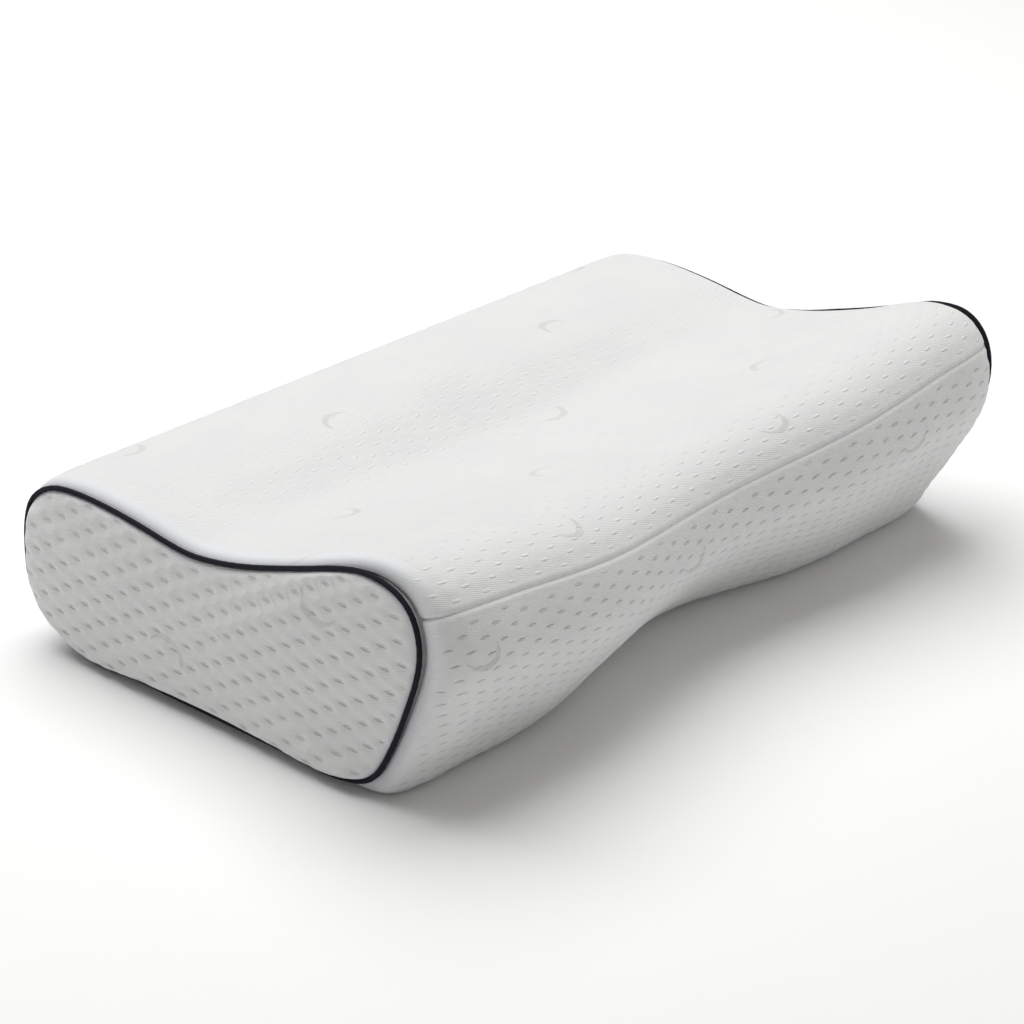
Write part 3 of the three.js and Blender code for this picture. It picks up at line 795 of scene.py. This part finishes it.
def plain_cloth(name, dark, light, pitch, sheen):
    """A plain weave on object coordinates, for tape, liner and cord."""
    material, nodes, shader = new_material(name, Sheen_Weight=sheen)
    place = on_object(nodes)
    axes = nodes.split(place)
    warp = nodes.wave(nodes.plus(axes[0], axes[1]), pitch)
    weave = nodes.times(warp, nodes.wave(axes[2], pitch))
    fuzz = nodes.noise(place, 700.0, 3.0)
    shade = nodes.smooth(nodes.plus(fuzz, weave, 0.25), 0.2, 0.9)
    nodes.link(nodes.mix(shade, dark, light), shader.inputs["Base Color"])
    nodes.link(nodes.plus(0.75, fuzz, 0.2), shader.inputs["Roughness"])
    bump(nodes, shader, nodes.plus(weave, fuzz), 0.12 * MM)
    return material


def foam():
    """Off-white open-cell foam with fine pores."""
    material, nodes, shader = new_material("open_cell_foam", Sheen_Weight=0.1)
    place = on_object(nodes)
    cells = nodes.add("ShaderNodeTexVoronoi")
    nodes.link(place, cells.inputs["Vector"])
    cells.inputs["Scale"].default_value = 600.0
    pores_and_shade = nodes.smooth(cells.outputs["Distance"], 0.15, 0.55)
    tone = nodes.noise(place, 18.0, 4.0)
    base = nodes.mix(tone, (0.83, 0.78, 0.62, 1), (0.88, 0.85, 0.73, 1))
    # Painted shade in the pores: their centres are darker than the cell walls.
    base = nodes.mix(pores_and_shade, (0.66, 0.60, 0.45, 1), base)
    nodes.link(base, shader.inputs["Base Color"])
    nodes.link(nodes.plus(0.85, tone, 0.1), shader.inputs["Roughness"])
    bump(nodes, shader, pores_and_shade, 0.3 * MM)
    return material


def nylon():
    """Pale moulded coil plastic, slightly mottled."""
    material, nodes, shader = new_material("coil_nylon", Coat_Weight=0.1)
    place = on_object(nodes)
    tone = nodes.noise(place, 300.0, 2.0)
    base = nodes.mix(tone, (0.66, 0.66, 0.66, 1), (0.80, 0.80, 0.79, 1))
    nodes.link(base, shader.inputs["Base Color"])
    nodes.link(nodes.plus(0.32, tone, 0.2), shader.inputs["Roughness"])
    bump(nodes, shader, tone, 0.05 * MM)
    return material


def plated_metal():
    """Plated die-cast metal with fine handling scratches."""
    material, nodes, shader = new_material("plated_metal", Metallic=1.0)
    place = on_object(nodes)
    stretched = nodes.vector("MULTIPLY", place, (400.0, 2500.0, 2500.0))
    scratch = nodes.noise(stretched, 1.0, 4.0, 0.7)
    tone = nodes.noise(place, 350.0, 2.0)
    base = nodes.mix(tone, (0.52, 0.53, 0.54, 1), (0.68, 0.69, 0.70, 1))
    nodes.link(base, shader.inputs["Base Color"])
    nodes.link(nodes.smooth(scratch, 0.3, 0.75, 0.2, 0.42), shader.inputs["Roughness"])
    bump(nodes, shader, scratch, 0.02 * MM)
    return material


def thread():
    """White twisted polyester thread."""
    material, nodes, shader = new_material("sewing_thread", Sheen_Weight=0.1)
    place = on_object(nodes)
    ply = nodes.add("ShaderNodeTexWave", bands_direction="DIAGONAL")
    nodes.link(place, ply.inputs["Vector"])
    ply.inputs["Scale"].default_value = 900.0
    twist_and_shade = ply.outputs["Fac"]
    # Painted shade: the grooves between the plies are darker.
    base = nodes.mix(twist_and_shade, (0.70, 0.70, 0.71, 1), (0.84, 0.84, 0.84, 1))
    nodes.link(base, shader.inputs["Base Color"])
    nodes.link(nodes.smooth(twist_and_shade, 0.0, 1.0, 0.6, 0.75), shader.inputs["Roughness"])
    bump(nodes, shader, twist_and_shade, 0.05 * MM)
    return material


MATERIALS = {
    "cover": quilted_knit(),
    "binding": bias_binding(),
    "tape": plain_cloth(
        "zip_tape_weave", (0.70, 0.70, 0.70, 1), (0.84, 0.84, 0.84, 1), 1.0 * MM, 0.1,
    ),
    "liner": plain_cloth(
        "liner_jersey", (0.72, 0.72, 0.71, 1), (0.84, 0.84, 0.83, 1), 1.4 * MM, 0.15,
    ),
    "filler": plain_cloth(
        "filler_cotton", (0.55, 0.51, 0.44, 1), (0.72, 0.69, 0.62, 1), 1.2 * MM, 0.2,
    ),
    "foam": foam(),
    "nylon": nylon(),
    "metal": plated_metal(),
    "thread": thread(),
}


def finish_piece(piece, material, slot, *nodes, body="root"):
    """Gives a piece its material and its body, and hides the CAD nodes that it stands for."""
    piece.data.materials.clear()
    piece.data.materials.append(MATERIALS[material])
    if nodes:
        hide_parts(*nodes)
    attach(piece, body)
    return piece


# ---------------------------------------------------------------- copies of CAD pieces

def soft_copy(node, name, levels):
    """A rounded, finer copy of a CAD piece."""
    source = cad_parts[node].data
    mesh = source.copy()
    mesh.name = name
    shape = bmesh.new()
    shape.from_mesh(mesh)
    bmesh.ops.remove_doubles(shape, verts=shape.verts, dist=1e-6)
    bmesh.ops.join_triangles(
        shape, faces=shape.faces, angle_face_threshold=0.35, angle_shape_threshold=1.2,
    )
    bmesh.ops.recalc_face_normals(shape, faces=shape.faces)
    shape.to_mesh(mesh)
    shape.free()
    piece = bpy.data.objects.new(name, mesh)
    bpy.context.scene.collection.objects.link(piece)
    if levels:
        modifier = piece.modifiers.new("round", "SUBSURF")
        modifier.levels = levels
        modifier.render_levels = levels
    apply_modifiers(piece)
    shade(piece, True)
    return piece


def hard_copy(node, name, width):
    """A copy of a CAD piece with its edges rounded."""
    piece = soft_copy(node, name, 0)
    bevel = piece.modifiers.new("edges", "BEVEL")
    bevel.width = width
    bevel.segments = 3
    bevel.limit_method = "ANGLE"
    bevel.angle_limit = math.radians(40)
    apply_modifiers(piece)
    shade(piece, False)
    return piece


def shade(piece, smooth):
    piece.data.polygons.foreach_set("use_smooth", [smooth] * len(piece.data.polygons))


def apply_modifiers(piece):
    graph = bpy.context.evaluated_depsgraph_get()
    mesh = bpy.data.meshes.new_from_object(piece.evaluated_get(graph))
    piece.modifiers.clear()
    piece.data = mesh


# ---------------------------------------------------------------- repeated pieces

def geometry_tree(name, inputs):
    """A Geometry Nodes tree with named number inputs after its geometry."""
    tree = bpy.data.node_groups.new(name, "GeometryNodeTree")
    tree.interface.new_socket("Geometry", in_out="INPUT", socket_type="NodeSocketGeometry")
    for label, kind, value in inputs:
        socket = tree.interface.new_socket(label, in_out="INPUT", socket_type=kind)
        socket.default_value = value
    tree.interface.new_socket("Geometry", in_out="OUTPUT", socket_type="NodeSocketGeometry")
    nodes = Nodes(tree)
    return tree, nodes, nodes.add("NodeGroupInput"), nodes.add("NodeGroupOutput")


def run_tree(name, curve_points, tree, values):
    """Runs a tree on a poly curve through points, and returns the plain mesh object."""
    curve = bpy.data.curves.new(name + "_path", "CURVE")
    curve.dimensions = "3D"
    spline = curve.splines.new("POLY")
    spline.points.add(len(curve_points) - 1)
    for point, place in zip(spline.points, curve_points):
        point.co = (*place, 1)
    guide = bpy.data.objects.new(name + "_path", curve)
    bpy.context.scene.collection.objects.link(guide)
    modifier = guide.modifiers.new("repeat", "NODES")
    modifier.node_group = tree
    for item in tree.interface.items_tree:
        if item.item_type == "SOCKET" and item.in_out == "INPUT" and item.name in values:
            modifier[item.identifier] = values[item.name]
    graph = bpy.context.evaluated_depsgraph_get()
    graph.update()
    mesh = bpy.data.meshes.new_from_object(guide.evaluated_get(graph))
    guide.modifiers.clear()
    bpy.data.objects.remove(guide)
    piece = bpy.data.objects.new(name, mesh)
    bpy.context.scene.collection.objects.link(piece)
    shade(piece, True)
    return piece


def stitch_tree():
    """Short rounded stitches laid end to end along a path."""
    tree, nodes, source, sink = geometry_tree("lockstitch_row", [
        ("Pitch", "NodeSocketFloat", STITCH_PITCH),
        ("Length", "NodeSocketFloat", STITCH_LENGTH),
        ("Radius", "NodeSocketFloat", STITCH_RADIUS),
        ("Material", "NodeSocketMaterial", None),
    ])
    spaced = nodes.add("GeometryNodeResampleCurve", mode="LENGTH")
    nodes.link(source.outputs["Geometry"], spaced.inputs["Curve"])
    nodes.link(source.outputs["Pitch"], spaced.inputs["Length"])
    points = nodes.add("GeometryNodeCurveToPoints", mode="EVALUATED")
    nodes.link(spaced.outputs["Curve"], points.inputs["Curve"])
    line = nodes.add("GeometryNodeCurvePrimitiveBezierSegment")
    for socket, share in (("Start", -0.5), ("Start Handle", -0.25),
                          ("End Handle", 0.25), ("End", 0.5)):
        place = nodes.combine(0.0, 0.0, nodes.times(source.outputs["Length"], share))
        nodes.link(place, line.inputs[socket])
    line.inputs["Resolution"].default_value = 5
    ring = nodes.add("GeometryNodeCurvePrimitiveCircle")
    ring.inputs["Resolution"].default_value = 5
    nodes.link(source.outputs["Radius"], ring.inputs["Radius"])
    tube = nodes.add("GeometryNodeCurveToMesh")
    nodes.link(line.outputs["Curve"], tube.inputs["Curve"])
    nodes.link(ring.outputs["Curve"], tube.inputs["Profile Curve"])
    tube.inputs["Fill Caps"].default_value = True
    place_on(nodes, points, tube.outputs["Mesh"], source, sink)
    return tree


def place_on(nodes, points, mesh, source, sink):
    """Places a mesh at each point, turned with the path, realized and with its material."""
    instances = nodes.add("GeometryNodeInstanceOnPoints")
    nodes.link(points.outputs["Points"], instances.inputs["Points"])
    nodes.link(mesh, instances.inputs["Instance"])
    nodes.link(points.outputs["Rotation"], instances.inputs["Rotation"])
    real = nodes.add("GeometryNodeRealizeInstances")
    nodes.link(instances.outputs["Instances"], real.inputs["Geometry"])
    paint = nodes.add("GeometryNodeSetMaterial")
    nodes.link(real.outputs["Geometry"], paint.inputs["Geometry"])
    nodes.link(source.outputs["Material"], paint.inputs["Material"])
    nodes.link(paint.outputs["Geometry"], sink.inputs["Geometry"])


def coil_tree():
    """One side of a zip coil: a flattened helix of round filament along a path."""
    tree, nodes, source, sink = geometry_tree("zip_coil_turns", [
        ("Pitch", "NodeSocketFloat", COIL_PITCH),
        ("Half Width", "NodeSocketFloat", 0.8 * MM),
        ("Half Height", "NodeSocketFloat", 0.65 * MM),
        ("Filament", "NodeSocketFloat", FILAMENT),
        ("Material", "NodeSocketMaterial", None),
    ])
    spaced = nodes.add("GeometryNodeResampleCurve", mode="LENGTH")
    nodes.link(source.outputs["Geometry"], spaced.inputs["Curve"])
    nodes.link(source.outputs["Pitch"], spaced.inputs["Length"])
    points = nodes.add("GeometryNodeCurveToPoints", mode="EVALUATED")
    nodes.link(spaced.outputs["Curve"], points.inputs["Curve"])
    turn = nodes.add("GeometryNodeCurvePrimitiveCircle")
    turn.inputs["Resolution"].default_value = 12
    turn.inputs["Radius"].default_value = 1.0
    shape = nodes.add("GeometryNodeTransform")
    nodes.link(turn.outputs["Curve"], shape.inputs["Geometry"])
    size = nodes.combine(source.outputs["Half Height"], source.outputs["Half Width"], 1.0)
    nodes.link(size, shape.inputs["Scale"])
    shape.inputs["Rotation"].default_value = (0.0, math.radians(24), 0.0)
    ring = nodes.add("GeometryNodeCurvePrimitiveCircle")
    ring.inputs["Resolution"].default_value = 6
    nodes.link(source.outputs["Filament"], ring.inputs["Radius"])
    tube = nodes.add("GeometryNodeCurveToMesh")
    nodes.link(shape.outputs["Geometry"], tube.inputs["Curve"])
    nodes.link(ring.outputs["Curve"], tube.inputs["Profile Curve"])
    place_on(nodes, points, tube.outputs["Mesh"], source, sink)
    return tree


STITCHES = stitch_tree()
COIL = coil_tree()


# ---------------------------------------------------------------- building the pillow

def build_cover():
    for node, seam_at_start in (("top_panel", False), ("bottom_panel", True)):
        panel, cut, row = cover_panel(node, seam_at_start)
        finish_piece(panel, "cover", "cover_cloth", node)
        name = node.replace("_panel", "_zip_stitches")
        stitches = run_tree(name, row, STITCHES, {
            "Pitch": STITCH_PITCH,
            "Length": STITCH_LENGTH,
            "Radius": STITCH_RADIUS,
            "Material": MATERIALS["thread"],
        })
        finish_piece(stitches, "thread", "cover_cloth")
    for side, name in ((-1, "left"), (1, "right")):
        panel = end_panel(name, side)
        finish_piece(panel, "cover", "cover_cloth", f"{name}_end_panel")
        across, up = end_ring(side).T[1:]
        path = bead_path(side)
        bead = tube(f"{name}_piping_sewn", side, path, BEAD_RADIUS, BEAD_STEPS)
        finish_piece(bead, "binding", "piping_cloth", f"{name}_piping_binding")
        cord = tube(f"{name}_piping_filler", side, path, FILLER_RADIUS, FILLER_STEPS)
        finish_piece(cord, "filler", "piping_filler", f"{name}_piping_cord")


def draw_in(piece):
    """Draws a filling piece in at its ends, where the cover dips to the piping."""
    places = np.array([v.co for v in piece.data.vertices])
    share = np.exp(-(((HALF_LENGTH - np.abs(places[:, 0])) / FILLING_ROLL) ** 2))[:, None]
    middle = np.array([0, 0, ZIP_LINE.z])
    inwards = (middle - places) * [0, 1, 1]  # across the pillow only
    length = np.linalg.norm(inwards, axis=1, keepdims=True)
    places += inwards / np.maximum(length, 1 * MM) * np.minimum(FILLING_DROP, length) * share
    piece.data.vertices.foreach_set("co", places.ravel())
    piece.data.update()


def build_inside():
    core = soft_copy("foam_core", "foam_core_moulded", 1)
    draw_in(core)
    finish_piece(core, "foam", "foam", "foam_core")
    liner = soft_copy("inner_liner", LINER, 0)
    draw_in(liner)
    finish_piece(liner, "liner", "liner_cloth", "inner_liner")
    ring = end_ring(1)


def build_zip():
    for which in ("upper", "lower"):
        low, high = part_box(f"zip_coil_{which}")
        middle = (low + high) / 2
        path = [(low.x, middle.y, middle.z), (high.x, middle.y, middle.z)]
        coil = run_tree(f"zip_coil_{which}_turns", path, COIL, {
            "Pitch": COIL_PITCH,
            "Half Width": (high.z - low.z) / 2 - FILAMENT,
            "Half Height": (high.y - low.y) / 2 - FILAMENT,
            "Material": MATERIALS["nylon"],
        })
        finish_piece(coil, "nylon", "zip_coil", f"zip_coil_{which}")
        stop = hard_copy(f"zip_top_stop_{which}", f"zip_top_stop_{which}_cast", 0.35 * MM)
        finish_piece(stop, "metal", "zip_metal", f"zip_top_stop_{which}")
    stop = hard_copy("zip_bottom_stop", "zip_bottom_stop_cast", 0.4 * MM)
    finish_piece(stop, "metal", "zip_metal", "zip_bottom_stop")
    slider = hard_copy("zip_slider", "zip_slider_cast", 0.22 * MM)
    finish_piece(slider, "metal", "zip_metal", "zip_slider", body="zip_slider")
    tab = hard_copy("zip_pull_tab", "zip_pull_tab_cast", 0.3 * MM)
    finish_piece(tab, "metal", "zip_metal", "zip_pull_tab", body="zip_pull")


def dress_nodes():
    """Materials of the CAD nodes that stay as they are."""
    finishes = {
        "left_zip_end_tab": "liner",
        "right_zip_end_tab": "liner",
        "zip_tape_upper": "tape",
        "zip_tape_lower": "tape",
    }
    for node, material in finishes.items():
        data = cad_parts[node].data
        data.materials.clear()
        data.materials.append(MATERIALS[material])


# ---------------------------------------------------------------- floor, light, camera

def build_stage():
    bpy.ops.mesh.primitive_plane_add(size=12, location=(0, 0, -0.0003))
    floor = bpy.context.object
    floor.name = "floor"
    material, _, shader = new_material("pale_floor", Roughness=0.9)
    shader.inputs["Base Color"].default_value = (0.96, 0.96, 0.96, 1)
    floor.data.materials.append(material)
    world = bpy.data.worlds.new("studio")
    bpy.context.scene.world = world
    world.use_nodes = True
    background = world.node_tree.nodes["Background"]
    background.inputs["Color"].default_value = (1.0, 0.98, 0.94, 1)
    background.inputs["Strength"].default_value = 0.2


def area_light(name, place, target, size, power):
    light = bpy.data.lights.new(name, "AREA")
    light.shape = "RECTANGLE"
    light.size, light.size_y = size
    light.energy = power
    made = bpy.data.objects.new(name, light)
    bpy.context.scene.collection.objects.link(made)
    made.location = place
    made.rotation_euler = (Vector(target) - Vector(place)).to_track_quat("-Z", "Y").to_euler()


def build_lights():
    centre = (0, 0, 0.05)
    area_light("overhead", (0.18, 0.82, 2.55), centre, (3.0, 3.0), 92)
    area_light("low_fill", (1.5, -1.6, 0.16), centre, (1.6, 0.3), 5.5)


def build_camera():
    azimuth = math.radians(VIEW_AZIMUTH)
    elevation = math.radians(VIEW_ELEVATION)
    back = Vector((
        math.sin(azimuth) * math.cos(elevation),
        -math.cos(azimuth) * math.cos(elevation),
        math.sin(elevation),
    ))
    camera = bpy.data.cameras.new("camera")
    camera.lens = VIEW_LENS
    camera.sensor_width = 36
    camera.clip_end = 50
    made = bpy.data.objects.new("camera", camera)
    bpy.context.scene.collection.objects.link(made)
    made.location = Vector(VIEW_TARGET) + back * VIEW_DISTANCE
    made.rotation_euler = (-back).to_track_quat("-Z", "Y").to_euler()
    bpy.context.scene.camera = made


build_cover()
build_inside()
build_zip()
dress_nodes()
build_stage()
build_lights()
build_camera()
bpy.context.scene.view_settings.view_transform = "Standard"
